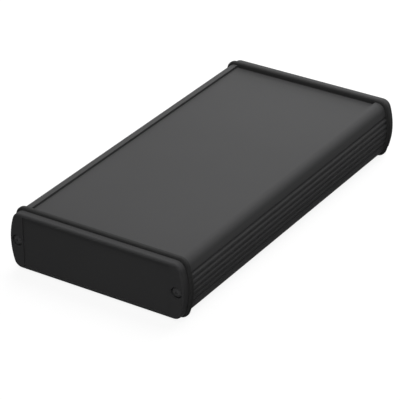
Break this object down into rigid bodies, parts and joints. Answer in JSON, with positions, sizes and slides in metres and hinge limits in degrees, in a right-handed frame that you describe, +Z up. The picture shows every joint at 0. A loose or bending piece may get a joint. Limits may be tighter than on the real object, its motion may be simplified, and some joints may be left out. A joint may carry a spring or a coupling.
{
  "type": "extruded aluminium enclosure",
  "caption": "Low black aluminium extrusion with bowed ribbed sides and a sunk top panel, closed at both ends by a gasket and a screwed plastic cap, for housing a circuit board.",
  "frame": {"origin": "centre of the footprint, on the surface that the lower edges of the two gaskets stand on", "axes": "+Y along the extrusion towards the rear cap, +X across the width to the right seen from the front cap, +Z up through the sunk top panel"},
  "size_m": [0.1086, 0.2156, 0.0343],
  "materials": {
    "black_anodised": "satin black anodised, with fine lines along the extrusion",
    "black_cap_plastic": "fine matt moulded texture",
    "gasket_rubber": "matt black",
    "black_screw_steel": "black finished"
  },
  "bodies": {
    "root": {"body_extrusion": "black_anodised", "front_gasket": "gasket_rubber", "rear_gasket": "gasket_rubber", "front_end_cap": "black_cap_plastic", "rear_end_cap": "black_cap_plastic", "front_screw_left": "black_screw_steel", "front_screw_right": "black_screw_steel", "rear_screw_left": "black_screw_steel", "rear_screw_right": "black_screw_steel"}
  },
  "joints": []
}
